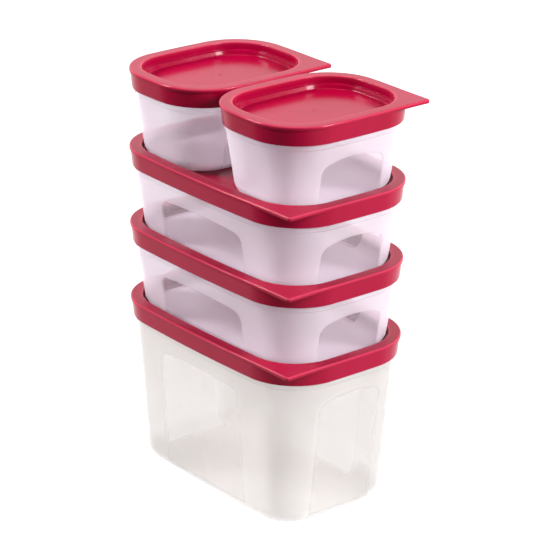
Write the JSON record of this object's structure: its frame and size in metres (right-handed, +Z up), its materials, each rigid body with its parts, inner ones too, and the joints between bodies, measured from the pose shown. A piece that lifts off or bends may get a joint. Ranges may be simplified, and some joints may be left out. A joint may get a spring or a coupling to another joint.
{
  "type": "stacking snap lid container set",
  "caption": "Frosted rectangular storage tubs of several sizes with crimson snap lids; each foot nests in the recessed lid below, so the set stands as one stack.",
  "frame": {"origin": "bottom centre of the stack, in the plane of the deep tub's flat foot", "axes": "+Z up; X along the long side of the wide containers; Y along their short side; the wide lids' pull tabs are at the +X -Y corner and the small lids' at their +X +Y corner"},
  "size_m": [0.24, 0.152, 0.351],
  "materials": {
    "frosted_tub": "frosted translucent polypropylene with polished clear windows",
    "crimson_lid": "satin moulded polyethylene",
    "crimson_lip": "satin moulded polyethylene"
  },
  "bodies": {
    "deep_tub": {"deep_tub": "frosted_tub"},
    "deep_lid": {"deep_lid": "crimson_lid", "deep_lid_snap_lip": "crimson_lip"},
    "lower_tub": {"lower_tub": "frosted_tub"},
    "lower_lid": {"lower_lid": "crimson_lid", "lower_lid_snap_lip": "crimson_lip"},
    "upper_tub": {"upper_tub": "frosted_tub"},
    "upper_lid": {"upper_lid": "crimson_lid", "upper_lid_snap_lip": "crimson_lip"},
    "front_tub": {"front_tub": "frosted_tub"},
    "front_lid": {"front_lid": "crimson_lid", "front_lid_snap_lip": "crimson_lip"},
    "back_tub": {"back_tub": "frosted_tub"},
    "back_lid": {"back_lid": "crimson_lid", "back_lid_snap_lip": "crimson_lip"}
  },
  "joints": [
    {"name": "deep_lid_lift", "type": "slide", "parent": "deep_tub", "child": "deep_lid", "axis": [0, 0, 1], "range_m": [0, 0.07], "deforming": ["deep_lid_snap_lip"]},
    {"name": "lower_tub_lift", "type": "slide", "parent": "deep_lid", "child": "lower_tub", "axis": [0, 0, 1], "range_m": [0, 0.06]},
    {"name": "lower_lid_lift", "type": "slide", "parent": "lower_tub", "child": "lower_lid", "axis": [0, 0, 1], "range_m": [0, 0.07], "deforming": ["lower_lid_snap_lip"]},
    {"name": "upper_tub_lift", "type": "slide", "parent": "lower_lid", "child": "upper_tub", "axis": [0, 0, 1], "range_m": [0, 0.06]},
    {"name": "upper_lid_lift", "type": "slide", "parent": "upper_tub", "child": "upper_lid", "axis": [0, 0, 1], "range_m": [0, 0.07], "deforming": ["upper_lid_snap_lip"]},
    {"name": "front_tub_lift", "type": "slide", "parent": "upper_lid", "child": "front_tub", "axis": [0, 0, 1], "range_m": [0, 0.06]},
    {"name": "front_lid_lift", "type": "slide", "parent": "front_tub", "child": "front_lid", "axis": [0, 0, 1], "range_m": [0, 0.07], "deforming": ["front_lid_snap_lip"]},
    {"name": "back_tub_lift", "type": "slide", "parent": "upper_lid", "child": "back_tub", "axis": [0, 0, 1], "range_m": [0, 0.06]},
    {"name": "back_lid_lift", "type": "slide", "parent": "back_tub", "child": "back_lid", "axis": [0, 0, 1], "range_m": [0, 0.07], "deforming": ["back_lid_snap_lip"]}
  ]
}
